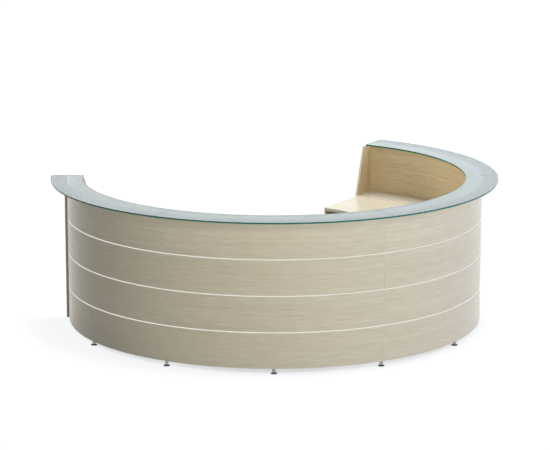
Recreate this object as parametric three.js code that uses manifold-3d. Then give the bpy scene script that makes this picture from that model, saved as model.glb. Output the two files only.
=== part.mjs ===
// Curved reception desk: bent wood modules round a ring, a glass counter on spacers, an inner worktop
// and screw feet. Millimetres, +Z up. The origin lies on the floor under the middle of the plan, and
// the middle of the curved front faces -Y.

import * as THREE from 'three';
import { mergeVertices } from 'three/addons/utils/BufferGeometryUtils.js';
import Module from 'manifold-3d';

// Plan of the ring
const MODULE_COUNT = 4;
const MODULE_ANGLE = THREE.MathUtils.degToRad(60);
const PANEL_OUTER_R = 1600;

// Heights above the floor
const COUNTER_HEIGHT = 1150;
const WORKTOP_HEIGHT = 740;
const PANEL_CLEARANCE = 45;
const END_CLEARANCE = 12;

// Front panels and their let-in strips
const PANEL_T = 18;
const BAND_COUNT = 4;
const STRIP_WIDTH = 8;
const STRIP_T = 3;

// Glass counter
const GLASS_T = 12;
const GLASS_WIDTH = 250;
const GLASS_OVERHANG = 125;
const GLASS_LIFT = 17;
const GLASS_ARRIS = 1;
const GLASS_JOINT = 2;
const GLASS_END_INSET = 10;
const SPACER_R = 8;
const SPACER_CHAMFER = 0.8;
const SPACER_FROM_JOINT = 16;

// Worktop
const WORKTOP_T = 25;
const WORKTOP_DEPTH = 782;
const EDGE_ROUND = 1;

// End panels, with depths measured inwards from their outer edge
const END_PANEL_T = 18;
const END_PROUD = 27;
const END_HEAD_DEPTH = 151;
const END_SHOULDER_DEPTH = 277;
const END_HEAD_GAP = 4;

// Support panels under the worktop joints
const SUPPORT_T = 25;

// How far all uprights stand back from the worktop's inner edge
const UPRIGHT_SETBACK = 30;

// Screw feet
const FOOT_OFFSET = 16;
const FOOT_BASE_R = 25;
const FOOT_BASE_T = 8;
const FOOT_STEM_R = 13;
const FOOT_STEM_REVEAL = 1;
const FOOT_ROD_R = 5;
const FOOT_TRAVEL = 10;
const FOOT_STOP_GAP = 2;
const FOOT_INSET = 60;

// Angle brackets behind the front panels
const BRACKET_WIDTH = 60;
const BRACKET_HEIGHT = 70;
const BRACKET_REACH = 42;
const BRACKET_T = 4;
const BRACKET_BEND = 4;
const NUT_ACROSS_CORNERS = 19.6;
const NUT_T = 8;

// Screw glides under the end panels
const GLIDE_R = 15;
const GLIDE_T = 6;
const GLIDE_ROD_R = 4;
const GLIDE_ROD_REACH = 25;
const GLIDE_RISE = 5;
const GLIDE_INSET = 60;

// Gaps between pieces
const SEAT_GAP = 0.3;
const JOINT_GAP = 0.8;
const ROD_CLEARANCE = 0.4;

// Facets of the round forms
const FACETS_PER_MODULE = 20;
const FOOT_FACETS = 16;
const SMALL_FACETS = 12;
const NUT_FACETS = 6;
const BEND_SEGMENTS = 3;
const MERGE_TOLERANCE = 1e-4;
const CUT_MARGIN = 4;

// Sizes worked out from the driving dimensions
const FACET_ANGLE = MODULE_ANGLE / FACETS_PER_MODULE;
const END_ANGLE = (MODULE_COUNT * MODULE_ANGLE) / 2;
const PANEL_INNER_R = PANEL_OUTER_R - PANEL_T;
const GLASS_OUTER_R = PANEL_OUTER_R + GLASS_OVERHANG;
const GLASS_INNER_R = GLASS_OUTER_R - GLASS_WIDTH;
const GLASS_UNDERSIDE = COUNTER_HEIGHT - GLASS_T;
const PANEL_TOP = GLASS_UNDERSIDE - GLASS_LIFT;
const PANEL_HEIGHT = PANEL_TOP - PANEL_CLEARANCE;
const BAND_PITCH = PANEL_HEIGHT / BAND_COUNT;
const WORKTOP_INNER_R = PANEL_INNER_R - WORKTOP_DEPTH;
const WORKTOP_UNDERSIDE = WORKTOP_HEIGHT - WORKTOP_T;
const END_OUTER_R = PANEL_OUTER_R + END_PROUD;
const END_TOP = GLASS_UNDERSIDE - END_HEAD_GAP;
const SPACER_ORBIT_R = (PANEL_INNER_R + PANEL_OUTER_R) / 2;
const FOOT_ORBIT_R = PANEL_INNER_R - FOOT_OFFSET;
const UPRIGHT_INNER_R = WORKTOP_INNER_R + UPRIGHT_SETBACK;
const INNER_FOOT_R = UPRIGHT_INNER_R + FOOT_INSET;
const FOOT_STEM_TOP = PANEL_CLEARANCE + FOOT_STEM_REVEAL;
const FOOT_SEAT = FOOT_STEM_TOP + FOOT_TRAVEL + FOOT_STOP_GAP;
const FOOT_ROD_TOP = FOOT_SEAT + BRACKET_T + NUT_T + FOOT_TRAVEL + FOOT_STOP_GAP;

// The glass's rear corners and its front edge are the plan's extremes, so they centre it on the origin
const REAR_CORNER_ANGLE = END_ANGLE - Math.asin(GLASS_END_INSET / GLASS_OUTER_R);
const REAR_REACH = -GLASS_OUTER_R * Math.cos(REAR_CORNER_ANGLE);
const ARC_CENTRE_Y = (GLASS_OUTER_R - REAR_REACH) / 2;

const wasm = await Module();
wasm.setup();

const OAK = new THREE.MeshStandardMaterial({ color: 0xc8bc9c, roughness: 0.5, metalness: 0 });
const GLASS = new THREE.MeshStandardMaterial({
  color: 0xc8d2d4,
  roughness: 0.05,
  metalness: 0,
  transparent: true,
  opacity: 0.85,
});
const ALUMINIUM = new THREE.MeshStandardMaterial({ color: 0xe4e0d6, roughness: 0.35, metalness: 1 });
const CHROME = new THREE.MeshStandardMaterial({ color: 0xd5d7d8, roughness: 0.12, metalness: 1 });
const STEEL = new THREE.MeshStandardMaterial({ color: 0x9a9da0, roughness: 0.4, metalness: 1 });
const PLASTIC = new THREE.MeshStandardMaterial({ color: 0x2a2b2d, roughness: 0.6, metalness: 0 });

const desk = new THREE.Group();
const ring = new THREE.Group();
ring.position.y = ARC_CENTRE_Y;
desk.add(ring);

// A turned group: its -Y axis points out from the arc's centre and its +X axis runs along the arc
function turned(angle) {
  const group = new THREE.Group();
  group.rotation.z = angle;
  ring.add(group);
  return group;
}

function addPart(group, name, geometry, material) {
  const mesh = new THREE.Mesh(geometry, material);
  mesh.name = name;
  group.add(mesh);
  return mesh;
}

function toSolid(geometry) {
  const bare = geometry.clone();
  bare.deleteAttribute('normal');
  bare.deleteAttribute('uv');
  const merged = mergeVertices(bare, MERGE_TOLERANCE);
  const vertProperties = new Float32Array(merged.attributes.position.array);
  const triVerts = new Uint32Array(merged.index.array);
  return new wasm.Manifold(new wasm.Mesh({ numProp: 3, vertProperties, triVerts }));
}

function toGeometry(solid) {
  const mesh = solid.getMesh();
  const geometry = new THREE.BufferGeometry();
  geometry.setAttribute('position', new THREE.BufferAttribute(mesh.vertProperties, 3));
  geometry.setIndex(new THREE.BufferAttribute(mesh.triVerts, 1));
  geometry.computeVertexNormals();
  return geometry;
}

function cutFrom(geometry, cutters) {
  const cut = cutters.reduce((solid, cutter) => solid.subtract(toSolid(cutter)), toSolid(geometry));
  return toGeometry(cut);
}

// Boards that follow the arc: a ring sector in plan, whose end faces stay parallel to the module's end
// planes and lie inside them by an inset. Extra facets carry a cutter past both ends.
function ringSector(innerR, outerR, insets, extraFacets = 0) {
  const front = -Math.PI / 2;
  const half = MODULE_ANGLE / 2 + extraFacets * FACET_ANGLE;
  const start = (radius) => front - half + Math.asin(insets.start / radius);
  const end = (radius) => front + half - Math.asin(insets.end / radius);
  const shape = new THREE.Shape();
  shape.absarc(0, 0, outerR, start(outerR), end(outerR), false);
  shape.absarc(0, 0, innerR, end(innerR), start(innerR), true);
  return shape;
}

function extrude(shape, depth, bevel, curveSegments) {
  const geometry = new THREE.ExtrudeGeometry(shape, {
    depth: depth - 2 * bevel,
    bevelEnabled: bevel > 0,
    bevelThickness: bevel,
    bevelSize: bevel,
    bevelOffset: -bevel,
    bevelSegments: 1,
    curveSegments,
  });
  return geometry.translate(0, 0, bevel);
}

function arcBoard(innerR, outerR, insets, bottom, height, bevel = 0, extraFacets = 0) {
  const shape = ringSector(innerR, outerR, insets, extraFacets);
  const facets = FACETS_PER_MODULE + 2 * extraFacets;
  return extrude(shape, height, bevel, facets / 2).translate(0, 0, bottom);
}

// Upright boards and brackets in a radial plane: the outline is drawn as distance from the arc's centre
// and height, and the thickness is centred on the plane.
function radialBoard(shape, thickness, bevel = 0) {
  const outwards = new THREE.Vector3(0, -1, 0);
  const up = new THREE.Vector3(0, 0, 1);
  const across = new THREE.Vector3(-1, 0, 0);
  const upright = new THREE.Matrix4().makeBasis(outwards, up, across);
  return extrude(shape, thickness, bevel, BEND_SEGMENTS)
    .translate(0, 0, -thickness / 2)
    .applyMatrix4(upright);
}

// Turned pieces: pairs of radius and height, from the axis at the bottom to the axis at the top
function turnedPiece(profile, facets) {
  const points = profile.map(([radius, height]) => new THREE.Vector2(radius, height));
  return new THREE.LatheGeometry(points, facets).rotateX(Math.PI / 2);
}

// An upright round cutter, with the facets of the rod that it clears
function rodHole(rodR, bottom, top, orbitR, facets) {
  const radius = (rodR + ROD_CLEARANCE) / Math.cos(Math.PI / facets);
  const profile = [[0, bottom], [radius, bottom], [radius, top], [0, top]];
  return turnedPiece(profile, facets).translate(0, -orbitR, 0);
}

// How far out a flat face of some width may lie behind the faceted inner face of a front panel
function flatSeatR(width) {
  const innerFacetR = PANEL_INNER_R * Math.cos(FACET_ANGLE / 2);
  return Math.sqrt((innerFacetR - SEAT_GAP) ** 2 - (width / 2) ** 2);
}

function moduleInsets(index, atEnd, atJoint) {
  return {
    start: index === 0 ? atEnd : atJoint,
    end: index === MODULE_COUNT - 1 ? atEnd : atJoint,
  };
}

function frontPanel(insets) {
  const blank = arcBoard(PANEL_INNER_R, PANEL_OUTER_R, insets, PANEL_CLEARANCE, PANEL_HEIGHT);
  const grooveFloorR = PANEL_OUTER_R - STRIP_T - SEAT_GAP;
  const grooveWidth = STRIP_WIDTH + 2 * SEAT_GAP;
  const grooves = stripLevels().map((level) => {
    const bottom = level - grooveWidth / 2;
    return arcBoard(grooveFloorR, PANEL_OUTER_R + CUT_MARGIN, insets, bottom, grooveWidth, 0, 1);
  });
  return cutFrom(blank, grooves);
}

function stripLevels() {
  const levels = [];
  for (let band = 1; band < BAND_COUNT; band += 1) {
    levels.push(PANEL_CLEARANCE + band * BAND_PITCH);
  }
  return levels;
}

function accentStrip(insets, level) {
  const bottom = level - STRIP_WIDTH / 2;
  return arcBoard(PANEL_OUTER_R - STRIP_T, PANEL_OUTER_R, insets, bottom, STRIP_WIDTH);
}

function glassTop(insets) {
  return arcBoard(GLASS_INNER_R, GLASS_OUTER_R, insets, GLASS_UNDERSIDE, GLASS_T, GLASS_ARRIS);
}

function worktop(insets) {
  const outerR = PANEL_INNER_R - 2 * SEAT_GAP;
  return arcBoard(WORKTOP_INNER_R, outerR, insets, WORKTOP_UNDERSIDE, WORKTOP_T, EDGE_ROUND);
}

function glassSpacer() {
  const bottom = PANEL_TOP + SEAT_GAP;
  const top = GLASS_UNDERSIDE - SEAT_GAP;
  const faceR = SPACER_R - SPACER_CHAMFER;
  return turnedPiece([
    [0, bottom],
    [faceR, bottom],
    [SPACER_R, bottom + SPACER_CHAMFER],
    [SPACER_R, top - SPACER_CHAMFER],
    [faceR, top],
    [0, top],
  ], SMALL_FACETS);
}

function endPanel() {
  const shape = new THREE.Shape();
  shape.moveTo(UPRIGHT_INNER_R, END_CLEARANCE);
  shape.lineTo(END_OUTER_R, END_CLEARANCE);
  shape.lineTo(END_OUTER_R, END_TOP);
  shape.lineTo(END_OUTER_R - END_HEAD_DEPTH, END_TOP);
  shape.lineTo(END_OUTER_R - END_SHOULDER_DEPTH, WORKTOP_HEIGHT);
  shape.lineTo(UPRIGHT_INNER_R, WORKTOP_HEIGHT);
  const board = radialBoard(shape, END_PANEL_T, EDGE_ROUND);
  const holeTop = END_CLEARANCE + GLIDE_ROD_REACH + GLIDE_RISE + CUT_MARGIN;
  const bottom = END_CLEARANCE - CUT_MARGIN;
  const holes = glideOrbits().map((orbit) => rodHole(GLIDE_ROD_R, bottom, holeTop, orbit, SMALL_FACETS));
  return cutFrom(board, holes);
}

function glideOrbits() {
  return [UPRIGHT_INNER_R + GLIDE_INSET, END_OUTER_R - GLIDE_INSET];
}

function endGlide() {
  const rodTop = END_CLEARANCE + GLIDE_ROD_REACH;
  const edge = GLIDE_T / 4;
  return turnedPiece([
    [0, 0],
    [GLIDE_R - edge, 0],
    [GLIDE_R, edge],
    [GLIDE_R, GLIDE_T / 2],
    [GLIDE_R - 2 * edge, GLIDE_T],
    [GLIDE_ROD_R, GLIDE_T],
    [GLIDE_ROD_R, rodTop - edge],
    [GLIDE_ROD_R - edge, rodTop],
    [0, rodTop],
  ], SMALL_FACETS);
}

function supportPanel() {
  const outerR = flatSeatR(SUPPORT_T);
  const top = WORKTOP_UNDERSIDE - SEAT_GAP;
  const shape = new THREE.Shape();
  shape.moveTo(UPRIGHT_INNER_R, FOOT_SEAT);
  shape.lineTo(outerR, FOOT_SEAT);
  shape.lineTo(outerR, top);
  shape.lineTo(UPRIGHT_INNER_R, top);
  const board = radialBoard(shape, SUPPORT_T, EDGE_ROUND);
  const holeTop = FOOT_ROD_TOP + FOOT_TRAVEL + FOOT_STOP_GAP;
  const bottom = FOOT_SEAT - CUT_MARGIN;
  const holes = [FOOT_ORBIT_R, INNER_FOOT_R].map((orbit) =>
    rodHole(FOOT_ROD_R, bottom, holeTop, orbit, FOOT_FACETS));
  return cutFrom(board, holes);
}

// Round base with a sloping shoulder, a plain stem and the adjusting rod above it
function levellingFoot() {
  const edge = FOOT_BASE_T / 6;
  const shoulder = FOOT_BASE_T / 2;
  return turnedPiece([
    [0, 0],
    [FOOT_BASE_R - edge, 0],
    [FOOT_BASE_R, edge],
    [FOOT_BASE_R, shoulder],
    [FOOT_BASE_R - edge, shoulder + edge],
    [FOOT_STEM_R + shoulder, FOOT_BASE_T],
    [FOOT_STEM_R, FOOT_BASE_T + shoulder],
    [FOOT_STEM_R, FOOT_STEM_TOP - edge],
    [FOOT_STEM_R - edge, FOOT_STEM_TOP],
    [FOOT_ROD_R, FOOT_STEM_TOP],
    [FOOT_ROD_R, FOOT_ROD_TOP - edge],
    [FOOT_ROD_R - edge, FOOT_ROD_TOP],
    [0, FOOT_ROD_TOP],
  ], FOOT_FACETS);
}

// Bent steel angle with a nut welded over the rod's hole
function footBracket() {
  const backR = flatSeatR(BRACKET_WIDTH);
  const bottom = FOOT_SEAT;
  const bendOuter = BRACKET_T + BRACKET_BEND;
  const bendR = backR - bendOuter;
  const bendHeight = bottom + bendOuter;
  const shape = new THREE.Shape();
  shape.moveTo(backR - BRACKET_REACH, bottom);
  shape.absarc(bendR, bendHeight, bendOuter, -Math.PI / 2, 0, false);
  shape.lineTo(backR, bottom + BRACKET_HEIGHT);
  shape.lineTo(backR - BRACKET_T, bottom + BRACKET_HEIGHT);
  shape.absarc(bendR, bendHeight, BRACKET_BEND, 0, -Math.PI / 2, true);
  shape.lineTo(backR - BRACKET_REACH, bottom + BRACKET_T);
  const angle = toSolid(radialBoard(shape, BRACKET_WIDTH));
  const nutR = NUT_ACROSS_CORNERS / 2;
  const nutBottom = bottom + BRACKET_T / 2;
  const nutTop = bottom + BRACKET_T + NUT_T;
  const nut = turnedPiece([[0, nutBottom], [nutR, nutBottom], [nutR, nutTop], [0, nutTop]], NUT_FACETS);
  const hole = rodHole(FOOT_ROD_R, bottom - CUT_MARGIN, nutTop + CUT_MARGIN, FOOT_ORBIT_R, FOOT_FACETS);
  const welded = angle.add(toSolid(nut.translate(0, -FOOT_ORBIT_R, 0)));
  return toGeometry(welded.subtract(toSolid(hole)));
}

// The modules, counted along the arc from the left end as seen from the front
for (let index = 0; index < MODULE_COUNT; index += 1) {
  const number = index + 1;
  const module = turned(-END_ANGLE + (index + 0.5) * MODULE_ANGLE);
  const woodInsets = moduleInsets(index, SEAT_GAP, JOINT_GAP / 2);
  const glassInsets = moduleInsets(index, GLASS_END_INSET, GLASS_JOINT / 2);
  addPart(module, `front_panel_${number}`, frontPanel(woodInsets), OAK);
  addPart(module, `worktop_${number}`, worktop(woodInsets), OAK);
  addPart(module, `glass_top_${number}`, glassTop(glassInsets), GLASS);
  stripLevels().forEach((level, step) => {
    addPart(module, `accent_strip_${number}_${step + 1}`, accentStrip(woodInsets, level), ALUMINIUM);
  });

  addPart(module, `foot_bracket_${number}`, footBracket(), STEEL);

  const spacerAngle = MODULE_ANGLE / 2 - Math.asin(SPACER_FROM_JOINT / SPACER_ORBIT_R);
  [-spacerAngle, 0, spacerAngle].forEach((angle, place) => {
    const letter = 'abc'[place];
    const spacer = addPart(module, `glass_spacer_${number}_${letter}`, glassSpacer(), STEEL);
    spacer.position.set(SPACER_ORBIT_R * Math.sin(angle), -SPACER_ORBIT_R * Math.cos(angle), 0);
  });
}

// The two end panels stand outside the ring's end planes, each on a pair of glides
['left', 'right'].forEach((side, index) => {
  const outwards = side === 'left' ? -1 : 1;
  const end = turned(outwards * END_ANGLE);
  const panel = addPart(end, `end_panel_${side}`, endPanel(), OAK);
  panel.position.x = outwards * (END_PANEL_T / 2);
  glideOrbits().forEach((orbit, place) => {
    const number = 2 * index + place + 1;
    const glide = addPart(end, `end_glide_${number}`, endGlide(), PLASTIC);
    glide.position.set(panel.position.x, -orbit, 0);
  });
});

// Outer feet at each joint and each module's middle
const FOOT_COUNT = 2 * MODULE_COUNT - 1;
for (let index = 0; index < FOOT_COUNT; index += 1) {
  const angle = -END_ANGLE + ((index + 1) * MODULE_ANGLE) / 2;
  const foot = addPart(turned(angle), `levelling_foot_${index + 1}`, levellingFoot(), CHROME);
  foot.position.y = -FOOT_ORBIT_R;
}

// Support panels at the joints between modules, with a foot of their own at the inner end
for (let joint = 1; joint < MODULE_COUNT; joint += 1) {
  const group = turned(-END_ANGLE + joint * MODULE_ANGLE);
  addPart(group, `support_panel_${joint}`, supportPanel(), OAK);
  const foot = addPart(group, `levelling_foot_${FOOT_COUNT + joint}`, levellingFoot(), CHROME);
  foot.position.y = -INNER_FOOT_R;
}

export default desk;
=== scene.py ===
"""Looks of the curved reception desk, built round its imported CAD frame. Metres, +Z up."""

import itertools
import math
from collections import namedtuple

import bmesh
import bpy
from mathutils import Matrix, Vector


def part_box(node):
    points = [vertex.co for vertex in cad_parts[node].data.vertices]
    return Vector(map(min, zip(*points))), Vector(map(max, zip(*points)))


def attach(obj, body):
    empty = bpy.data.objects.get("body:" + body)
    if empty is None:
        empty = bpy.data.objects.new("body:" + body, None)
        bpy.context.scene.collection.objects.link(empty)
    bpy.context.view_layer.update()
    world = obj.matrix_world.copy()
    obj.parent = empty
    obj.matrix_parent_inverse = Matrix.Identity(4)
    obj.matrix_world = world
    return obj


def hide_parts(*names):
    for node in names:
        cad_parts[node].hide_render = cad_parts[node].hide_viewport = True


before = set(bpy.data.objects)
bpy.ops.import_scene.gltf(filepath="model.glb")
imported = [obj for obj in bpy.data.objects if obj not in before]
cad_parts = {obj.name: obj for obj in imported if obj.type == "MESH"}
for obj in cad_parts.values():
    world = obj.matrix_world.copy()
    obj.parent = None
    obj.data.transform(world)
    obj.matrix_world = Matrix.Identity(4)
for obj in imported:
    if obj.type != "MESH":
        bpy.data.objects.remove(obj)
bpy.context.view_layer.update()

MM = 0.001

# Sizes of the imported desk
MODULE_COUNT = 4
MODULE_SPAN = math.radians(60)
END_ANGLE = MODULE_COUNT * MODULE_SPAN / 2
PANEL_OUTER_R = 1600 * MM
PANEL_INNER_R = 1582 * MM
PANEL_BOTTOM = 45 * MM
PANEL_TOP = 1121 * MM
STRIP_LEVELS = (314 * MM, 583 * MM, 852 * MM)
STRIP_WIDTH = 8 * MM
STRIP_T = 3 * MM
SEAT_GAP = 0.3 * MM
JOINT_INSET = 0.4 * MM
GLASS_INNER_R = 1475 * MM
GLASS_OUTER_R = 1725 * MM
GLASS_UNDERSIDE = 1138 * MM
GLASS_TOP = 1150 * MM
GLASS_JOINT_INSET = 1 * MM
GLASS_END_INSET = 10 * MM
SPACER_ORBIT_R = 1591 * MM
SPACER_FROM_JOINT = 16 * MM
WORKTOP_INNER_R = 800 * MM
WORKTOP_OUTER_R = 1581.4 * MM
WORKTOP_UNDERSIDE = 715 * MM
WORKTOP_TOP = 740 * MM
END_T = 18 * MM
GLIDE_ORBITS = (890 * MM, 1567 * MM)
GLIDE_BORE_R = 4.5 * MM
GLIDE_BORE_TOP = 46 * MM
SUPPORT_T = 25 * MM
FOOT_ORBIT_R = 1566 * MM
INNER_FOOT_R = 890 * MM
FOOT_SEAT = 58 * MM
ROD_BORE_R = 5.5 * MM
ROD_BORE_TOP = 94 * MM
DRILL_START = 5 * MM
BRACKET_BACK_R = 1580.8 * MM
BRACKET_HALF_WIDTH = 30 * MM
BRACKET_T = 4 * MM
BRACKET_BEND_R = 4 * MM
BRACKET_REACH = 42 * MM
BRACKET_HEIGHT = 70 * MM
BRACKET_BORE_DEPTH = 30 * MM

# Outlines of the upright boards, radius and height in millimetres
END_OUTLINE = ((830, 12), (1627, 12), (1627, 1134), (1476, 1134), (1350, 740), (830, 740))
SUPPORT_OUTLINE = ((830, 58), (1581, 58), (1581, 714.7), (830, 714.7))

# Turned fittings, rows of radius and height in millimetres: the spacers' heights count from the panel's top,
# the nut's from the foot's seat and the others' from the floor
SPACER_STUD = (
    (0, 0.8), (7.2, 0.8), (8, 1.6), (8, 5.0), (7.5, 5.4), (7.5, 6.4), (8, 6.8),
    (8, 10.2), (7.5, 10.6), (7.5, 11.6), (8, 12.0), (8, 15.2), (7.2, 16.0), (0, 16.0),
)
SPACER_FOOT_PAD = ((0, 0.05), (6.8, 0.05), (7.0, 0.3), (7.0, 0.9), (0, 0.9))
SPACER_HEAD_PAD = ((0, 15.9), (7.0, 15.9), (7.0, 16.7), (6.8, 16.95), (0, 16.95))
GLIDE_BASE = (
    (0, 0), (13.2, 0), (14.6, 0.7), (15, 1.8), (14.8, 3.2), (13.6, 4.4), (11.6, 5.5), (6.5, 6.0), (0, 6.0),
)
FOOT_SOLE = ((0, 0), (22.6, 0), (23.4, 0.5), (23.6, 1.6), (0, 1.6))
FOOT_BODY = (
    (0, 1.4), (24.2, 1.4), (24.9, 2.0), (25, 3.0), (24.8, 4.2), (24.0, 5.2), (22.0, 6.0), (18.5, 7.2),
    (15.8, 8.8), (14.2, 10.6), (13.3, 12.6), (13, 15.0), (13, 39.4), (12.3, 39.9), (12.3, 41.1),
    (13, 41.6), (13, 44.6), (12.6, 45.4), (11.6, 46), (0, 46),
)
BRACKET_NUT = ((9.0, 3.9), (9.8, 4.4), (9.8, 11.3), (8.8, 12))

# Threaded rods: the thread runs from start to end, between a plain root below and a plain tip above
Rod = namedtuple("Rod", "radius root_r root start end tip_r tip pitch depth")
GLIDE_ROD = Rod(
    radius=4 * MM, root_r=3.1 * MM, root=5.5 * MM, start=6.2 * MM, end=36 * MM,
    tip_r=3.0 * MM, tip=37 * MM, pitch=1.25 * MM, depth=0.7 * MM,
)
FOOT_ROD = Rod(
    radius=5 * MM, root_r=4.2 * MM, root=45.5 * MM, start=46.2 * MM, end=80.8 * MM,
    tip_r=4.0 * MM, tip=82 * MM, pitch=1.5 * MM, depth=0.85 * MM,
)

# Pan-head screws: shares of the head's radius and height from its seat up, then the cross recess
SCREW_R = 4.2 * MM
SCREW_HEIGHT = 2.6 * MM
PAN_HEAD = ((1.0, 0.0), (1.0, 0.35), (0.93, 0.68), (0.72, 0.92), (0.45, 1.0))
RECESS_REACHES = (0.34, 0.10, 0.10, 0.10)
RECESS_FLOOR = 0.45
SCREWS_ACROSS = (-20 * MM, 20 * MM)
SCREW_HEIGHTS = (26 * MM, 56 * MM)

# The arc's centre lies behind the foremost point of the glass by its outer radius
ARC_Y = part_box("glass_top_2")[0].y + GLASS_OUTER_R

# Fineness of the visual shapes
ARC_STEPS = 90
TURN_STEPS = 40
ROD_STEPS = 20
ROWS_PER_TURN = 3
NUT_SIDES = 6
BORE_STEPS = 24
SCREW_STEPS = 16
BEND_STEPS = 6
WOOD_ARRIS = 0.9 * MM
GLASS_ARRIS = 0.7 * MM
METAL_ARRIS = 0.4 * MM
ARRIS_ANGLE = math.radians(35)
SHARP_ANGLE = math.radians(32)
FACE_LIMIT = 0.7
GRAIN_MAP = "grain"
GRAIN_STEP = Vector((3.71, 1.37))


def ring_point(radius, angle, height):
    return Vector((radius * math.sin(angle), ARC_Y - radius * math.cos(angle), height))


def ring_angle(point):
    return math.atan2(point.x, ARC_Y - point.y)


def ring_radius(point):
    return math.hypot(point.x, ARC_Y - point.y)


def outwards(angle):
    return Vector((math.sin(angle), -math.cos(angle), 0))


def along(angle):
    return Vector((math.cos(angle), math.sin(angle), 0))


def module_middle(number):
    return (number - 0.5) * MODULE_SPAN - END_ANGLE


def module_insets(number, at_end, at_joint):
    start = at_end if number == 1 else at_joint
    end = at_end if number == MODULE_COUNT else at_joint
    return start, end


def in_metres(rows, base=0.0):
    return [(radius * MM, base + height * MM) for radius, height in rows]


# Shader nodes

WHITE = (1.0, 1.0, 1.0, 1.0)


def node(tree, kind, inputs=None, **settings):
    """A shader node with its settings; an input is a value or the socket that feeds it."""
    made = tree.nodes.new("ShaderNode" + kind)
    for key, value in settings.items():
        setattr(made, key, value)
    for key, value in (inputs or {}).items():
        if isinstance(value, bpy.types.NodeSocket):
            tree.links.new(value, made.inputs[key])
        else:
            made.inputs[key].default_value = value
    return made


def math_node(tree, operation, *values, clamp=False):
    inputs = dict(enumerate(values))
    return node(tree, "Math", inputs, operation=operation, use_clamp=clamp).outputs[0]


def vector_node(tree, operation, *values, output="Vector"):
    return node(tree, "VectorMath", dict(enumerate(values)), operation=operation).outputs[output]


def remap(tree, value, span, target=(0.0, 1.0), **settings):
    """The value carried from one span to another and held within it."""
    inputs = {"Value": value, "From Min": span[0], "From Max": span[1]}
    inputs.update({"To Min": target[0], "To Max": target[1]})
    return node(tree, "MapRange", inputs, **settings).outputs["Result"]


def blend(tree, factor, first, second):
    return node(tree, "Mix", {"Factor": factor, 6: first, 7: second}, data_type="RGBA").outputs[2]


def object_place(tree):
    return node(tree, "TexCoord").outputs["Object"]


def even(count):
    return (count, count, count)


Noise = namedtuple("Noise", "scale detail roughness", defaults=(0.55,))
NOISE_MIDDLE = 0.5


def noise(tree, vector, layer):
    """Noise whose cells measure one over each of the layer's scales, in metres."""
    stretched = vector_node(tree, "MULTIPLY", vector, layer.scale)
    inputs = {"Vector": stretched, "Scale": 1.0, "Detail": layer.detail, "Roughness": layer.roughness}
    return node(tree, "TexNoise", inputs).outputs["Fac"]


def average(tree, first, second):
    return math_node(tree, "MULTIPLY_ADD", first, 0.5, math_node(tree, "MULTIPLY", second, 0.5))


def ramp(tree, factor, positions, colours):
    made = node(tree, "ValToRGB", {"Fac": factor})
    elements = made.color_ramp.elements
    while len(elements) < len(colours):
        elements.new(0.5)
    for element, position, colour in zip(elements, positions, colours):
        element.position = position
        element.color = (*colour, 1.0)
    return made.outputs["Color"]


def bump(tree, height, relief):
    """A relief is the bump's strength and distance."""
    inputs = {"Height": height, "Strength": relief[0], "Distance": relief[1]}
    return node(tree, "Bump", inputs).outputs["Normal"]


def principled(tree, **inputs):
    """A Principled shader; each input's name has underscores for spaces."""
    named = {key.replace("_", " "): value for key, value in inputs.items()}
    return node(tree, "BsdfPrincipled", named).outputs[0]


def shadow_through(tree, shader, colour):
    """The shader as seen, which lets light of some colour through to what lies in its shadow."""
    let_through = node(tree, "BsdfTransparent", {"Color": (*colour, 1.0)}).outputs[0]
    is_shadow = node(tree, "LightPath").outputs["Is Shadow Ray"]
    return node(tree, "MixShader", {0: is_shadow, 1: shader, 2: let_through}).outputs[0]


def new_material(name):
    made = bpy.data.materials.new(name)
    made.use_nodes = True
    made.node_tree.nodes.clear()
    return made, made.node_tree


def close_material(tree, shader, volume=None):
    output = node(tree, "OutputMaterial", {"Surface": shader})
    if volume is not None:
        tree.links.new(volume, output.inputs["Volume"])


# Oak figure: noise along and across the grain, and each layer's share of the tone
OAK_SWAY = Noise((0.9, 2.2, 1.0), 1.0)
OAK_SWING = 30 * MM
OAK_BANDS = Noise((0.45, 8.0, 1.0), 2.0)
OAK_STREAKS = Noise((0.6, 42.0, 1.0), 3.0)
OAK_LINES = Noise((7.0, 115.0, 1.0), 3.0)
OAK_PORES = Noise((22.0, 900.0, 1.0), 1.0)
BANDS_SHARE = 0.5
STREAKS_SHARE = 1.2
LINES_SHARE = 2.0
OAK_STOPS = (0.0, 0.5, 1.0)
PORE_SPAN = (0.60, 0.72)
PORE_COVER = 0.35
PORE_TINT = (0.60, 0.55, 0.50)
PORE_ROUGHNESS = 0.3
PORE_DEPTH = 1.6
LINE_ROUGHNESS = 0.10
OAK_RELIEF = (0.10, 0.25 * MM)
OAK_IOR = 1.5


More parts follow.
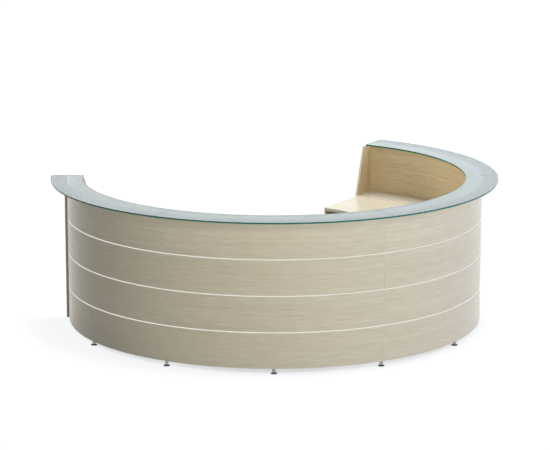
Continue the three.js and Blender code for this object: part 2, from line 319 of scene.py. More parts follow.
def oak(name, dark, middle, light, contrast, roughness):
    """Pale oak veneer: tone bands, streaks, fine lines and open pores along the grain map's first axis."""
    made, tree = new_material(name)
    grain = node(tree, "UVMap", uv_map=GRAIN_MAP).outputs["UV"]
    sway = math_node(tree, "SUBTRACT", noise(tree, grain, OAK_SWAY), NOISE_MIDDLE)
    swing = math_node(tree, "MULTIPLY", sway, OAK_SWING)
    fibre = vector_node(tree, "ADD", grain, node(tree, "CombineXYZ", {"Y": swing}).outputs[0])

    bands = noise(tree, fibre, OAK_BANDS)
    streaks = noise(tree, fibre, OAK_STREAKS)
    lines = noise(tree, fibre, OAK_LINES)
    open_pores = remap(tree, noise(tree, fibre, OAK_PORES), PORE_SPAN, (0.0, PORE_COVER))

    tone = OAK_STOPS[1]
    for layer, share in ((bands, BANDS_SHARE), (streaks, STREAKS_SHARE), (lines, LINES_SHARE)):
        about_middle = math_node(tree, "SUBTRACT", layer, NOISE_MIDDLE)
        tone = math_node(tree, "MULTIPLY_ADD", about_middle, share * contrast, tone)
    colour = ramp(tree, tone, OAK_STOPS, (dark, middle, light))
    pore_colour = (*(level * tint for level, tint in zip(dark, PORE_TINT)), 1.0)

    sheen = math_node(tree, "MULTIPLY_ADD", lines, LINE_ROUGHNESS, roughness - LINE_ROUGHNESS / 2)
    sheen = math_node(tree, "MULTIPLY_ADD", open_pores, PORE_ROUGHNESS, sheen)
    relief = math_node(tree, "MULTIPLY_ADD", open_pores, -PORE_DEPTH, lines)
    shader = principled(
        tree,
        Base_Color=blend(tree, open_pores, colour, pore_colour),
        Roughness=sheen,
        Normal=bump(tree, relief, OAK_RELIEF),
        IOR=OAK_IOR,
    )
    close_material(tree, shader)
    return made


GLASS_IOR = 1.5
GLASS_WIPING = Noise(even(9.0), 5.0, 0.65)
GLASS_WIPING_SPAN = (0.5, 0.8)
GLASS_MARKS = 0.035
GLASS_WAVE = Noise(even(3.0), 1.0)
GLASS_RELIEF = (0.05, 0.4 * MM)
GLASS_SHADOW = (0.90, 0.95, 0.94)
GLASS_DEPTH_COLOUR = (0.10, 0.50, 0.44, 1.0)
GLASS_DEPTH_DENSITY = 8.0


def clear_glass(name):
    """Clear float glass: green in its depth, with a faint roller wave and wiping marks on its faces."""
    made, tree = new_material(name)
    place = object_place(tree)
    wiping = noise(tree, place, GLASS_WIPING)
    wave = noise(tree, place, GLASS_WAVE)
    pane = principled(
        tree,
        Base_Color=WHITE,
        Roughness=remap(tree, wiping, GLASS_WIPING_SPAN, (0.0, GLASS_MARKS)),
        IOR=GLASS_IOR,
        Transmission_Weight=1.0,
        Normal=bump(tree, wave, GLASS_RELIEF),
    )
    depth = node(
        tree, "VolumeAbsorption", {"Color": GLASS_DEPTH_COLOUR, "Density": GLASS_DEPTH_DENSITY}
    ).outputs[0]
    close_material(tree, shadow_through(tree, pane, GLASS_SHADOW), depth)
    return made


# The coat under the glass: its dark and light tone over the desk, lighter with painted light, and past the
# outer face of the panels, darker with painted shade
COAT_PAINTED_LIGHT = ((0.242, 0.257, 0.253), (0.259, 0.274, 0.270))
COAT_PAINTED_SHADE = ((0.194, 0.201, 0.220), (0.209, 0.216, 0.235))
COAT_CLEAR_SHARE = 0.20
COAT_SHADOW = (0.92, 0.92, 0.92)
COAT_STEP = 1 * MM
COAT_CLOUD = Noise(even(4.0), 3.0)
COAT_STOPS = (0.3, 0.7)
COAT_GRIT = Noise(even(60.0), 4.0)
# The grit's share of the roughness, and the least roughness
COAT_SHEEN = (0.2, 0.55)
COAT_RELIEF = (0.05, 0.05 * MM)


def satin_back(name):
    """The pale satin coat under the glass, with painted light over the desk and painted shade past the
    panels.
    """
    made, tree = new_material(name)
    place = object_place(tree)
    from_centre = vector_node(tree, "SUBTRACT", place, (0, ARC_Y, GLASS_UNDERSIDE))
    radius = vector_node(tree, "LENGTH", from_centre, output="Value")
    overhang = remap(tree, radius, (PANEL_OUTER_R - COAT_STEP, PANEL_OUTER_R + COAT_STEP))
    cloud = noise(tree, place, COAT_CLOUD)
    grit = noise(tree, place, COAT_GRIT)
    # Painted light over the desk and painted shade past the outer face of the panels
    painted_light_tone = ramp(tree, cloud, COAT_STOPS, COAT_PAINTED_LIGHT)
    painted_shade_tone = ramp(tree, cloud, COAT_STOPS, COAT_PAINTED_SHADE)
    coat = principled(
        tree,
        Base_Color=blend(tree, overhang, painted_light_tone, painted_shade_tone),
        Roughness=math_node(tree, "MULTIPLY_ADD", grit, *COAT_SHEEN),
        Normal=bump(tree, grit, COAT_RELIEF),
    )
    clear = node(tree, "BsdfTransparent").outputs[0]
    seen = node(tree, "MixShader", {0: COAT_CLEAR_SHARE, 1: coat, 2: clear}).outputs[0]
    close_material(tree, shadow_through(tree, seen, COAT_SHADOW))
    return made


EDGE_PAINTED_LIGHT_HEIGHT = 6 * MM
EDGE_STREAKS = Noise((14.0, 14.0, 260.0), 3.0, 0.6)
EDGE_CLOUD = Noise(even(2.5), 2.0)
EDGE_STOPS = (0.32, 0.68)
# The streaks' share of the roughness, and the least roughness
EDGE_SHEEN = (0.10, 0.06)
EDGE_SPECULAR = 0.25
EDGE_RELIEF = (0.06, 0.05 * MM)


def glass_edge(name, dark, light, glow):
    """The polished edge of the glass: a streaked green, lightened towards the underside with painted light.
    """
    made, tree = new_material(name)
    place = object_place(tree)
    streaks = noise(tree, place, EDGE_STREAKS)
    cloud = noise(tree, place, EDGE_CLOUD)
    depth = ramp(tree, average(tree, cloud, streaks), EDGE_STOPS, (dark, light))
    height = node(tree, "SeparateXYZ", {0: place}).outputs["Z"]
    # Painted light: the edge lightens towards the underside
    low = remap(tree, height, (GLASS_UNDERSIDE, GLASS_UNDERSIDE + EDGE_PAINTED_LIGHT_HEIGHT), (1.0, 0.0))
    shader = principled(
        tree,
        Base_Color=blend(tree, low, depth, (*glow, 1.0)),
        Roughness=math_node(tree, "MULTIPLY_ADD", streaks, *EDGE_SHEEN),
        Specular_IOR_Level=EDGE_SPECULAR,
        Normal=bump(tree, streaks, EDGE_RELIEF),
    )
    close_material(tree, shader)
    return made


METAL_CLOUD = Noise(even(6.0), 2.0)
METAL_STOPS = (0.3, 0.7)
METAL_RELIEF = (0.12, 0.05 * MM)


def brushed_metal(name, dark, light, roughness, brushing, map_name=None, marks=0.12):
    """Metal with fine lines along one axis of its own coordinates, uneven in tone and sheen."""
    made, tree = new_material(name)
    place = node(tree, "UVMap", uv_map=map_name).outputs["UV"] if map_name else object_place(tree)
    lines = noise(tree, place, brushing)
    cloud = noise(tree, place, METAL_CLOUD)
    shader = principled(
        tree,
        Base_Color=ramp(tree, average(tree, cloud, lines), METAL_STOPS, (dark, light)),
        Metallic=1.0,
        Roughness=math_node(tree, "MULTIPLY_ADD", lines, marks, roughness - marks / 2),
        Normal=bump(tree, lines, METAL_RELIEF),
    )
    close_material(tree, shader)
    return made


PLASTIC_GRIT = Noise(even(1400.0), 2.0)
PLASTIC_SCUFFS = Noise(even(60.0), 3.0)
PLASTIC_STOPS = (0.35, 0.75)
SCUFF_ROUGHNESS = 0.25
SCUFF_POLISH = 0.12
PLASTIC_RELIEF = (0.3, 0.1 * MM)


def moulded_plastic(name, dark, light, roughness):
    """Moulded plastic or rubber with a fine spark-eroded grain."""
    made, tree = new_material(name)
    place = object_place(tree)
    grit = noise(tree, place, PLASTIC_GRIT)
    scuffs = noise(tree, place, PLASTIC_SCUFFS)
    shader = principled(
        tree,
        Base_Color=ramp(tree, scuffs, PLASTIC_STOPS, (dark, light)),
        Roughness=math_node(tree, "MULTIPLY_ADD", scuffs, SCUFF_ROUGHNESS, roughness - SCUFF_POLISH),
        Normal=bump(tree, grit, PLASTIC_RELIEF),
    )
    close_material(tree, shader)
    return made


# Finishes: dark, middle and light tone, contrast and roughness of the oak; dark and light tone of the rest
OAK_FACE = oak(
    "oak_face", (0.505, 0.420, 0.288), (0.602, 0.515, 0.366), (0.690, 0.608, 0.455), 0.62, 0.25
)
# Oak inside the ring, darker and warmer than the outer faces: painted warm shade
OAK_INSIDE_PAINTED_SHADE = oak(
    "oak_inside_painted_shade", (0.455, 0.333, 0.168), (0.570, 0.438, 0.246), (0.662, 0.537, 0.340), 0.72, 0.30
)
# Oak for the worktops, paler and bluer than the faces: a painted sheen of reflected light
OAK_TOP_PAINTED_SHEEN = oak(
    "oak_top_painted_sheen", (0.500, 0.435, 0.335), (0.600, 0.530, 0.420), (0.680, 0.615, 0.500), 0.65, 0.25
)
OAK_EDGE = oak(
    "oak_edge", (0.680, 0.595, 0.450), (0.770, 0.685, 0.540), (0.840, 0.760, 0.620), 0.6, 0.30
)
GLASS = clear_glass("counter_glass")
SATIN_BACK = satin_back("satin_back")
# The light green that the glass edges take near the underside is painted light
EDGE_PAINTED_LIGHT = (0.060, 0.300, 0.200)
GLASS_EDGE = glass_edge("glass_edge", (0.002, 0.060, 0.036), (0.008, 0.125, 0.078), EDGE_PAINTED_LIGHT)
# The eased arrises of the glass in a lighter green: a painted highlight
GLASS_ARRIS_HIGHLIGHT = glass_edge("glass_arris_highlight", (0.040, 0.240, 0.170), (0.090, 0.360, 0.270), EDGE_PAINTED_LIGHT)
ALUMINIUM_LINES = Noise((2.0, 2600.0, 1.0), 3.0, 0.6)
ALUMINIUM = brushed_metal(
    "aluminium_strip", (0.78, 0.75, 0.68), (0.88, 0.85, 0.78), 0.30, ALUMINIUM_LINES, GRAIN_MAP
)
CHROME_LINES = Noise((90.0, 90.0, 700.0), 3.0, 0.6)
# Chrome kept dark in colour: a painted reflection of dark surroundings
CHROME_PAINTED_DARK_REFLECTION = brushed_metal(
    "chrome_foot", (0.24, 0.24, 0.25), (0.40, 0.40, 0.41), 0.16, CHROME_LINES, marks=0.05
)
STEEL_LINES = Noise((60.0, 60.0, 1200.0), 3.0, 0.6)
STEEL = brushed_metal("steel_fitting", (0.42, 0.43, 0.44), (0.60, 0.61, 0.62), 0.34, STEEL_LINES)
BLACK_PLASTIC = moulded_plastic("black_plastic", (0.012, 0.012, 0.013), (0.035, 0.035, 0.037), 0.55)
CLEAR_PAD = moulded_plastic("clear_pad", (0.50, 0.54, 0.53), (0.62, 0.66, 0.65), 0.35)


# Mesh code


def in_scene(name, bm):
    """An object in the scene that takes over the mesh."""
    mesh = bpy.data.meshes.new(name)
    bm.to_mesh(mesh)
    bm.free()
    made = bpy.data.objects.new(name, mesh)
    bpy.context.scene.collection.objects.link(made)
    return made


def discard(made):
    mesh = made.data
    bpy.data.objects.remove(made)
    bpy.data.meshes.remove(mesh)


def add_piece(node_name, suffix, bm, finishes, body, arris=0.0, arris_steps=2, arris_finish=-1):
    """Makes the mesh an object that rides a body, stands for its CAD node and has its edges eased."""
    piece = in_scene(f"{node_name}_{suffix}", bm)
    mesh = piece.data
    mesh.polygons.foreach_set("use_smooth", [True] * len(mesh.polygons))
    for finish in finishes:
        mesh.materials.append(finish)
    if arris:
        eased = piece.modifiers.new("arris", "BEVEL")
        eased.width = arris
        eased.segments = arris_steps
        eased.limit_method = "ANGLE"
        eased.angle_limit = ARRIS_ANGLE
        eased.harden_normals = True
        eased.material = arris_finish
    else:
        mesh.set_sharp_from_angle(angle=SHARP_ANGLE)
    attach(piece, body)
    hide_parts(node_name)


def swept_ring(outline, middle, insets):
    """A closed outline of radius and height carried along the arc, with flat ends parallel to the joints."""
    bm = bmesh.new()
    rows = []
    for step in range(ARC_STEPS + 1):
        share = step / ARC_STEPS
        row = []
        for radius, height in outline:
            start = middle - MODULE_SPAN / 2 + math.asin(insets[0] / radius)
            end = middle + MODULE_SPAN / 2 - math.asin(insets[1] / radius)
            row.append(bm.verts.new(ring_point(radius, start + share * (end - start), height)))
        rows.append(row)
    for here, there in zip(rows, rows[1:]):
        for index in range(len(outline)):
            after = (index + 1) % len(outline)
            bm.faces.new((here[index], here[after], there[after], there[index]))
    bm.faces.new(rows[0])
    bm.faces.new(rows[-1])
    bmesh.ops.recalc_face_normals(bm, faces=bm.faces)
    bm.normal_update()
    return bm


def upright_board(outline, angle, near, far):
    """A board in a radial plane: an outline of radius and height, from near to far along the arc."""
    bm = bmesh.new()
    sides = []
    for shift in (near, far):
        points = [ring_point(radius, angle, height) + shift * along(angle) for radius, height in outline]
        sides.append([bm.verts.new(point) for point in points])
    for index in range(len(outline)):
        after = (index + 1) % len(outline)
        bm.faces.new((sides[0][index], sides[0][after], sides[1][after], sides[1][index]))
    bm.faces.new(sides[0])
    bm.faces.new(sides[1])
    bmesh.ops.recalc_face_normals(bm, faces=bm.faces)
    bm.normal_update()
    return bm


def bored(bm, bores):
    """The same body with upright round bores, each given as centre, bottom, top and radius."""
    blank = in_scene("blank", bm)
    cutters = []
    for centre, bottom, top, radius in bores:
        drill = bmesh.new()
        bmesh.ops.create_cone(
            drill,
            cap_ends=True,
            segments=BORE_STEPS,
            radius1=radius,
            radius2=radius,
            depth=top - bottom,
            matrix=Matrix.Translation((centre.x, centre.y, (bottom + top) / 2)),
        )
        cutters.append(in_scene("drill", drill))
        cut = blank.modifiers.new("bore", "BOOLEAN")
        cut.operation = "DIFFERENCE"
        cut.solver = "EXACT"
        cut.object = cutters[-1]
    bpy.context.view_layer.update()
    finished = blank.evaluated_get(bpy.context.evaluated_depsgraph_get()).to_mesh()
    result = bmesh.new()
    result.from_mesh(finished)
    for used in (blank, *cutters):
        discard(used)
    result.normal_update()
    return result


def turned_rows(bm, rows, centre, finish=0, steps=TURN_STEPS, pitch=0.0, thread=0.0):
    """Adds a turned body from rows of radius and height; a thread of some depth winds round at its pitch."""
    loops = []
    for radius, height in rows:
        if radius == 0:
            loops.append([bm.verts.new((centre.x, centre.y, height))])
            continue
        loop = []
        for step in range(steps):
            share = step / steps
            reach = radius
            if thread:
                place = (height / pitch - share) % 1.0
                reach -= thread * abs(2 * place - 1)
            turn = 2 * math.pi * share
            x, y = centre.x + reach * math.cos(turn), centre.y + reach * math.sin(turn)
            loop.append(bm.verts.new((x, y, height)))
        loops.append(loop)
    for low, high in zip(loops, loops[1:]):
        for step in range(steps):
            after = (step + 1) % steps
            if len(low) == 1:
                corners = (low[0], high[after], high[step])
            elif len(high) == 1:
                corners = (low[step], low[after], high[0])
            else:
                corners = (low[step], low[after], high[after], high[step])
            bm.faces.new(corners).material_index = finish
    if len(loops[0]) > 1:
        bm.faces.new(list(reversed(loops[0]))).material_index = finish
    if len(loops[-1]) > 1:
        bm.faces.new(loops[-1]).material_index = finish


def threaded_rod(bm, rod, centre, finish):
    count = round((rod.end - rod.start) / rod.pitch * ROWS_PER_TURN)
    rise = (rod.end - rod.start) / count
    thread = [(rod.radius, rod.start + rise * step) for step in range(count + 1)]
    rows = [(rod.root_r, rod.root), *thread, (rod.tip_r, rod.tip)]
    turned_rows(bm, rows, centre, finish, ROD_STEPS, rod.pitch, rod.depth)


# Veneer: the grain's direction and the finish of each face


def facing(point, normal):
    """The normal's shares outwards from the arc's centre and along the arc."""
    angle = ring_angle(point)
    return normal.dot(outwards(angle)), normal.dot(along(angle))


def bent_grain(point, normal):
    """Grain that runs round the arc, and up the banded ends."""
    if abs(facing(point, normal)[1]) > FACE_LIMIT:
        return point.z, ring_radius(point)
    run = PANEL_OUTER_R * ring_angle(point)
    return (run, ring_radius(point)) if abs(normal.z) > FACE_LIMIT else (run, point.z)


def bent_finish(face):
    """Outer faces first, banded edges second, the faces inside the ring third, in oak with painted shade."""
    out, round_arc = facing(face.calc_center_median(), face.normal)
    if abs(face.normal.z) > FACE_LIMIT or abs(round_arc) > FACE_LIMIT:
        return 1
    return 2 if out < 0 else 0


def flat_grain(middle):
    """Straight grain across a level board, and round its banded edges."""
    def place(point, normal):
        if abs(normal.z) > FACE_LIMIT:
            return point.dot(along(middle)), point.dot(outwards(middle))
        if abs(facing(point, normal)[1]) > FACE_LIMIT:
            return ring_radius(point), point.z
        return PANEL_OUTER_R * ring_angle(point), point.z

    return place


def flat_finish(face):
    """Upper and lower faces first, banded edges second."""
    return 1 if abs(face.normal.z) < FACE_LIMIT else 0


def upright_grain(angle):
    """Upright grain on a board in a radial plane, and along its banded edges."""
    def place(point, normal):
        if abs(normal.dot(along(angle))) > FACE_LIMIT:
            return point.z, point.dot(outwards(angle))
        if abs(normal.z) > FACE_LIMIT:
            return point.dot(outwards(angle)), point.dot(along(angle))
        return point.z, point.dot(along(angle))

    return place


def upright_finish(angle, inner=0.0):
    """Outer faces first, banded edges second; with an inner sign, that side's face inside the ring third, in
    oak with painted shade.
    """
    def finish(face):
        side = face.normal.dot(along(angle))
        if abs(side) < FACE_LIMIT:
            return 1
        within = ring_radius(face.calc_center_median()) < PANEL_OUTER_R
        return 2 if within and side * inner > 0 else 0

    return finish


def pane_finish(face):
    """Clear glass on top and where two panes meet, the coat underneath, green on the free edges."""
    if abs(face.normal.z) > FACE_LIMIT:
        return 1 if face.normal.z < 0 else 0
    middle = face.calc_center_median()
    across = abs(facing(middle, face.normal)[1]) > FACE_LIMIT
    at_joint = abs(ring_angle(middle)) < END_ANGLE - MODULE_SPAN / 2
    return 0 if across and at_joint else 2


grain_numbers = itertools.count(1)


def lay_grain(bm, place, finish=None):
    """Writes each corner's place on the grain map, in a fresh part of the figure, and each face's finish."""
    shift = next(grain_numbers) * GRAIN_STEP
    layer = bm.loops.layers.uv.new(GRAIN_MAP)
    for face in bm.faces:
        if finish is not None:
            face.material_index = finish(face)
        for loop in face.loops:
            loop[layer].uv = Vector(place(loop.vert.co, face.normal)) + shift
    return bm


# The four modules


def box_outline(inner_r, outer_r, bottom, top):
    return [(inner_r, bottom), (outer_r, bottom), (outer_r, top), (inner_r, top)]


def panel_outline():
    """The front panel's section, with a groove for each strip."""
    groove = STRIP_WIDTH / 2 + SEAT_GAP
    floor_r = PANEL_OUTER_R - STRIP_T - SEAT_GAP
    outline = [(PANEL_INNER_R, PANEL_BOTTOM), (PANEL_OUTER_R, PANEL_BOTTOM)]
    for level in STRIP_LEVELS:
        outline += [(PANEL_OUTER_R, level - groove), (floor_r, level - groove)]
        outline += [(floor_r, level + groove), (PANEL_OUTER_R, level + groove)]
    return outline + [(PANEL_OUTER_R, PANEL_TOP), (PANEL_INNER_R, PANEL_TOP)]


def front_panel(number, middle, insets):
    board = lay_grain(swept_ring(panel_outline(), middle, insets), bent_grain, bent_finish)
    finishes = (OAK_FACE, OAK_EDGE, OAK_INSIDE_PAINTED_SHADE)
    add_piece(f"front_panel_{number}", "board", board, finishes, "desk", WOOD_ARRIS)


def worktop(number, middle, insets):
    outline = box_outline(WORKTOP_INNER_R, WORKTOP_OUTER_R, WORKTOP_UNDERSIDE, WORKTOP_TOP)
    board = lay_grain(swept_ring(outline, middle, insets), flat_grain(middle), flat_finish)
    add_piece(f"worktop_{number}", "board", board, (OAK_TOP_PAINTED_SHEEN, OAK_EDGE), "desk", WOOD_ARRIS)


def glass_top(number, middle, insets):
    pane = swept_ring(box_outline(GLASS_INNER_R, GLASS_OUTER_R, GLASS_UNDERSIDE, GLASS_TOP), middle, insets)
    for face in pane.faces:
        face.material_index = pane_finish(face)
    finishes = (GLASS, SATIN_BACK, GLASS_EDGE, GLASS_ARRIS_HIGHLIGHT)
    add_piece(
        f"glass_top_{number}",
        "pane",
        pane,
        finishes,
        "desk",
        GLASS_ARRIS,
        arris_steps=1,
        arris_finish=finishes.index(GLASS_ARRIS_HIGHLIGHT),
    )


def accent_strip(number, step, level, middle, insets):
    low, high = level - STRIP_WIDTH / 2, level + STRIP_WIDTH / 2
    outline = box_outline(PANEL_OUTER_R - STRIP_T, PANEL_OUTER_R, low, high)
    strip = lay_grain(swept_ring(outline, middle, insets), bent_grain)
    name = f"accent_strip_{number}_{step}"
    add_piece(name, "inlay", strip, (ALUMINIUM,), "desk", METAL_ARRIS)


def glass_spacer(number, letter, angle):
    """A grooved stud on the panel's upper edge, between two soft pads."""
    centre = ring_point(SPACER_ORBIT_R, angle, 0)
    bm = bmesh.new()
    turned_rows(bm, in_metres(SPACER_STUD, PANEL_TOP), centre)
    turned_rows(bm, in_metres(SPACER_FOOT_PAD, PANEL_TOP), centre, 1)
    turned_rows(bm, in_metres(SPACER_HEAD_PAD, PANEL_TOP), centre, 1)
    name = f"glass_spacer_{number}_{letter}"
    add_piece(name, "stud", bm, (STEEL, CLEAR_PAD), "desk")


def module(number):
    middle = module_middle(number)
    wood_insets = module_insets(number, SEAT_GAP, JOINT_INSET)
    front_panel(number, middle, wood_insets)
    worktop(number, middle, wood_insets)
    glass_top(number, middle, module_insets(number, GLASS_END_INSET, GLASS_JOINT_INSET))
    for step, level in enumerate(STRIP_LEVELS, 1):
        accent_strip(number, step, level, middle, wood_insets)
    spread = MODULE_SPAN / 2 - math.asin(SPACER_FROM_JOINT / SPACER_ORBIT_R)
    for letter, shift in zip("abc", (-spread, 0, spread)):
        glass_spacer(number, letter, middle + shift)


# The end panels and their glides


def glide(number, centre):
    bm = bmesh.new()
    turned_rows(bm, in_metres(GLIDE_BASE), centre)
    threaded_rod(bm, GLIDE_ROD, centre, 1)
    finishes = (BLACK_PLASTIC, STEEL)
    add_piece(f"end_glide_{number}", "set", bm, finishes, f"glide_{number}")


def end_panel(side, sign, first_glide):
    """The board that closes one end, bored from below for its two glides."""
    angle = sign * END_ANGLE
    near, far = sorted((0.0, sign * END_T))
    board = upright_board(in_metres(END_OUTLINE), angle, near, far)
    whole = [*board.verts, *board.edges, *board.faces]
    panel_line = ring_point(PANEL_OUTER_R, angle, 0)
    bmesh.ops.bisect_plane(board, geom=whole, plane_co=panel_line, plane_no=outwards(angle))
    centres = [ring_point(orbit, angle, 0) + sign * END_T / 2 * along(angle) for orbit in GLIDE_ORBITS]
    board = bored(board, [(centre, -DRILL_START, GLIDE_BORE_TOP, GLIDE_BORE_R) for centre in centres])
    board = lay_grain(board, upright_grain(angle), upright_finish(angle, -sign))
    finishes = (OAK_FACE, OAK_EDGE, OAK_INSIDE_PAINTED_SHADE)
    add_piece(f"end_panel_{side}", "board", board, finishes, "desk", WOOD_ARRIS)
    for number, centre in enumerate(centres, first_glide):
        glide(number, centre)


# Feet, brackets and support panels


def foot(number, centre):
    bm = bmesh.new()
    turned_rows(bm, in_metres(FOOT_SOLE), centre, 1)
    turned_rows(bm, in_metres(FOOT_BODY), centre)
    threaded_rod(bm, FOOT_ROD, centre, 2)
    finishes = (CHROME_PAINTED_DARK_REFLECTION, BLACK_PLASTIC, STEEL)
    add_piece(f"levelling_foot_{number}", "set", bm, finishes, f"foot_{number}")


def pan_head(bm, seat, direction, across):
    """A pan-head screw on a face: a domed head with a cross recess."""
    up = direction.cross(across)

    def ring(reaches, rise):
        loop = []
        for step in range(SCREW_STEPS):
            turn = 2 * math.pi * step / SCREW_STEPS
            ray = math.cos(turn) * across + math.sin(turn) * up
            reach = reaches[step % len(reaches)] * SCREW_R
            loop.append(bm.verts.new(seat + reach * ray + rise * SCREW_HEIGHT * direction))
        return loop

    loops = [ring((share,), rise) for share, rise in PAN_HEAD]
    loops.append(ring(RECESS_REACHES, RECESS_FLOOR))
    for low, high in zip(loops, loops[1:]):
        for step in range(SCREW_STEPS):
            after = (step + 1) % SCREW_STEPS
            bm.faces.new((low[step], low[after], high[after], high[step]))
    bm.faces.new(loops[-1])
    bm.faces.new(list(reversed(loops[0])))


def bracket_outline():
    """The bent angle's section: a foot plate, a quarter bend and an upright plate."""
    reach, top = BRACKET_BACK_R - BRACKET_REACH, FOOT_SEAT + BRACKET_HEIGHT
    outer_r = BRACKET_T + BRACKET_BEND_R
    bend_r, bend_z = BRACKET_BACK_R - outer_r, FOOT_SEAT + outer_r
    turns = [math.radians(90 * step / BEND_STEPS - 90) for step in range(BEND_STEPS + 1)]

    def bend(radius, angles):
        return [(bend_r + radius * math.cos(turn), bend_z + radius * math.sin(turn)) for turn in angles]

    outline = [(reach, FOOT_SEAT), *bend(outer_r, turns)]
    outline += [(BRACKET_BACK_R, top), (BRACKET_BACK_R - BRACKET_T, top)]
    return outline + [*bend(BRACKET_BEND_R, reversed(turns)), (reach, FOOT_SEAT + BRACKET_T)]


def foot_bracket(number, angle):
    """A bent steel angle behind a front panel, with its welded nut and four screws."""
    centre = ring_point(FOOT_ORBIT_R, angle, 0)
    rod_bore = (centre, FOOT_SEAT - DRILL_START, FOOT_SEAT + BRACKET_BORE_DEPTH, ROD_BORE_R)
    bm = upright_board(bracket_outline(), angle, -BRACKET_HALF_WIDTH, BRACKET_HALF_WIDTH)
    bm = bored(bm, [rod_bore])

    nut = bmesh.new()
    turned_rows(nut, in_metres(BRACKET_NUT, FOOT_SEAT), centre, 0, NUT_SIDES)
    bmesh.ops.recalc_face_normals(nut, faces=nut.faces)
    welded = in_scene("nut", bored(nut, [rod_bore]))
    bm.from_mesh(welded.data)
    discard(welded)

    for across in SCREWS_ACROSS:
        for height in SCREW_HEIGHTS:
            seat = ring_point(BRACKET_BACK_R - BRACKET_T, angle, FOOT_SEAT + height)
            pan_head(bm, seat + across * along(angle), -outwards(angle), along(angle))
    add_piece(f"foot_bracket_{number}", "angle", bm, (STEEL,), "desk", METAL_ARRIS)


def support_panel(number, angle):
    """An upright board under a worktop joint, bored from below for the rods of its two feet."""
    board = upright_board(in_metres(SUPPORT_OUTLINE), angle, -SUPPORT_T / 2, SUPPORT_T / 2)
    centres = [ring_point(orbit, angle, 0) for orbit in (INNER_FOOT_R, FOOT_ORBIT_R)]
    bores = [(centre, FOOT_SEAT - DRILL_START, ROD_BORE_TOP, ROD_BORE_R) for centre in centres]
    board = lay_grain(bored(board, bores), upright_grain(angle), upright_finish(angle))
    name = f"support_panel_{number}"
    add_piece(name, "board", board, (OAK_FACE, OAK_EDGE), "desk", WOOD_ARRIS)


for number in range(1, MODULE_COUNT + 1):
    module(number)
end_panel("left", -1, 1)
end_panel("right", 1, 1 + len(GLIDE_ORBITS))
for number in range(1, MODULE_COUNT + 1):
    foot_bracket(number, module_middle(number))
outer_feet = 2 * MODULE_COUNT - 1
for number in range(1, outer_feet + 1):
    foot(number, ring_point(FOOT_ORBIT_R, number * MODULE_SPAN / 2 - END_ANGLE, 0))
for joint in range(1, MODULE_COUNT):
    angle = joint * MODULE_SPAN - END_ANGLE
    support_panel(joint, angle)
    foot(outer_feet + joint, ring_point(INNER_FOOT_R, angle, 0))


# Floor, light and camera

FLOOR_R = 200.0
FLOOR_STEPS = 96
FLOOR_BOUNCE = (0.250, 0.235, 0.205, 1.0)
FLOOR_WHITE = (0.90, 0.90, 0.90, 1.0)
FLOOR_GLOW = (0.970, 0.985, 1.0, 1.0)
FLOOR_GLOW_SHARE = 0.78
# The glow's strength near the desk and far from it, and the distances between which it grows
FLOOR_GLOW_STRENGTHS = (1.18, 1.33)
FLOOR_GLOW_SPAN = (3.0, 8.0)
# How far the desk darkens the floor, the open share at which it is darkest and lightest, and the shades there
FLOOR_SHADE_REACH = 1.2
FLOOR_SHADE_SAMPLES = 16
FLOOR_OPEN_SPAN = (0.05, 0.25)
FLOOR_SHADES = (0.6, 1.0)
WORLD_LIGHT = (0.9, 0.95, 1.0, 1.0)
WORLD_STRENGTH = 0.03
LAMP_AIM = 0.6
# Each soft box: bearing from the camera's side, elevation, distance, width, height; watts and colour
SOFT_BOXES = {
    "front_light": (3, 20, 8.0, 4.0, 3.0, 364.0, (0.88, 0.94, 1.0)),
    "side_light": (72, 10, 8.0, 4.0, 3.0, 390.0, (0.70, 0.79, 1.0)),
    "rear_side_light": (115, 25, 8.0, 4.0, 4.0, 60.0, (0.80, 0.90, 1.0)),
    "top_light": (150, 65, 7.0, 4.0, 4.0, 565.0, (0.88, 0.94, 1.0)),
    "rear_light": (-140, 22, 8.0, 4.0, 4.0, 550.0, (1.0, 0.94, 0.82)),
}
# The lamp that throws the desk's shadow on the floor, given in the same way
FLOOR_LIGHT = (62, 83, 8.0, 2.4, 2.4, 650.0, (1.0, 0.98, 0.95))
CAMERA_PLACE = (-9.4248, -15.9999, 4.9519)
CAMERA_YAW = math.radians(-29.843)
CAMERA_PITCH = math.radians(12.498)
CAMERA_LENS = 163.52
CAMERA_SENSOR = 36.0
CAMERA_REACH = 500.0


def seen_rays(tree):
    """One for rays that show a surface: from the camera, off a sheen or through glass."""
    path = node(tree, "LightPath").outputs
    seen = math_node(tree, "ADD", path["Is Camera Ray"], path["Is Glossy Ray"])
    return math_node(tree, "ADD", seen, path["Is Transmission Ray"], clamp=True)


def floor_material():
    """Looks white, keeps a faint shadow and throws back the light of a grey floor."""
    made, tree = new_material("studio_floor")
    bounce = node(tree, "BsdfDiffuse", {"Color": FLOOR_BOUNCE}).outputs[0]
    white = node(tree, "BsdfDiffuse", {"Color": FLOOR_WHITE}).outputs[0]
    distance = vector_node(tree, "LENGTH", object_place(tree), output="Value")
    strength = remap(
        tree, distance, FLOOR_GLOW_SPAN, FLOOR_GLOW_STRENGTHS, interpolation_type="SMOOTHSTEP"
    )
    occlusion = node(
        tree, "AmbientOcclusion", {"Distance": FLOOR_SHADE_REACH}, samples=FLOOR_SHADE_SAMPLES
    )
    shade = remap(tree, occlusion.outputs["AO"], FLOOR_OPEN_SPAN, FLOOR_SHADES)
    strength = math_node(tree, "MULTIPLY", strength, shade)
    glow = node(tree, "Emission", {"Color": FLOOR_GLOW, "Strength": strength}).outputs[0]
    look = node(tree, "MixShader", {0: FLOOR_GLOW_SHARE, 1: white, 2: glow}).outputs[0]
    close_material(tree, node(tree, "MixShader", {0: seen_rays(tree), 1: bounce, 2: look}).outputs[0])
    return made


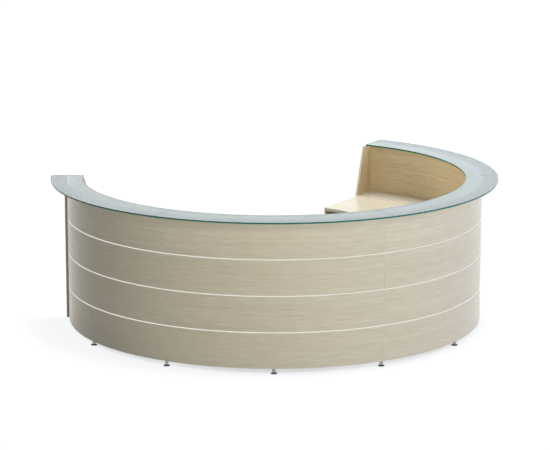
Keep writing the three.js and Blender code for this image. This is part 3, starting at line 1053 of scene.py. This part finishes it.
def studio_floor():
    bm = bmesh.new()
    bmesh.ops.create_circle(bm, cap_ends=True, segments=FLOOR_STEPS, radius=FLOOR_R)
    floor = in_scene("studio_floor", bm)
    floor.data.materials.append(floor_material())
    return floor


def light_group(name, floor, state):
    """A group for light linking that takes in the floor alone, or leaves the floor alone out."""
    group = bpy.data.collections.new(name)
    group.objects.link(floor)
    group.collection_objects[0].light_linking.link_state = state
    return group


def soft_box(name, group, bearing, elevation, distance, width, height, power, colour):
    """A soft box that faces the middle of the desk and lights what its group takes in."""
    lamp = bpy.data.lights.new(name, "AREA")
    lamp.shape = "RECTANGLE"
    lamp.size = width
    lamp.size_y = height
    lamp.energy = power
    lamp.color = colour
    made = bpy.data.objects.new(name, lamp)
    bpy.context.scene.collection.objects.link(made)
    level, rise = math.cos(math.radians(elevation)), math.sin(math.radians(elevation))
    towards = level * outwards(CAMERA_YAW + math.radians(bearing)) + rise * Vector((0, 0, 1))
    made.location = Vector((0, ARC_Y, LAMP_AIM)) + distance * towards
    made.rotation_euler = towards.to_track_quat("Z", "Y").to_euler()
    made.visible_camera = False
    made.visible_glossy = False
    made.light_linking.receiver_collection = group


def studio_world():
    """A white backdrop to look at, which gives little light of its own."""
    world = bpy.data.worlds.new("studio_world")
    world.use_nodes = True
    bpy.context.scene.world = world
    tree = world.node_tree
    tree.nodes.clear()
    light = node(tree, "Background", {"Color": WORLD_LIGHT, "Strength": WORLD_STRENGTH}).outputs[0]
    backdrop = node(tree, "Background", {"Color": WHITE, "Strength": 1.0}).outputs[0]
    mixed = node(tree, "MixShader", {0: seen_rays(tree), 1: light, 2: backdrop}).outputs[0]
    node(tree, "OutputWorld", {"Surface": mixed})


def photo_camera():
    lens = bpy.data.cameras.new("photo_camera")
    lens.lens = CAMERA_LENS
    lens.sensor_width = CAMERA_SENSOR
    lens.clip_end = CAMERA_REACH
    made = bpy.data.objects.new("photo_camera", lens)
    made.location = CAMERA_PLACE
    made.rotation_euler = (math.pi / 2 - CAMERA_PITCH, 0.0, CAMERA_YAW)
    bpy.context.scene.collection.objects.link(made)
    bpy.context.scene.camera = made


floor = studio_floor()
studio_world()
desk_group = light_group("lit_desk", floor, "EXCLUDE")
for name, settings in SOFT_BOXES.items():
    soft_box(name, desk_group, *settings)
soft_box("floor_light", light_group("lit_floor", floor, "INCLUDE"), *FLOOR_LIGHT)
photo_camera()
bpy.context.scene.view_settings.view_transform = "Standard"
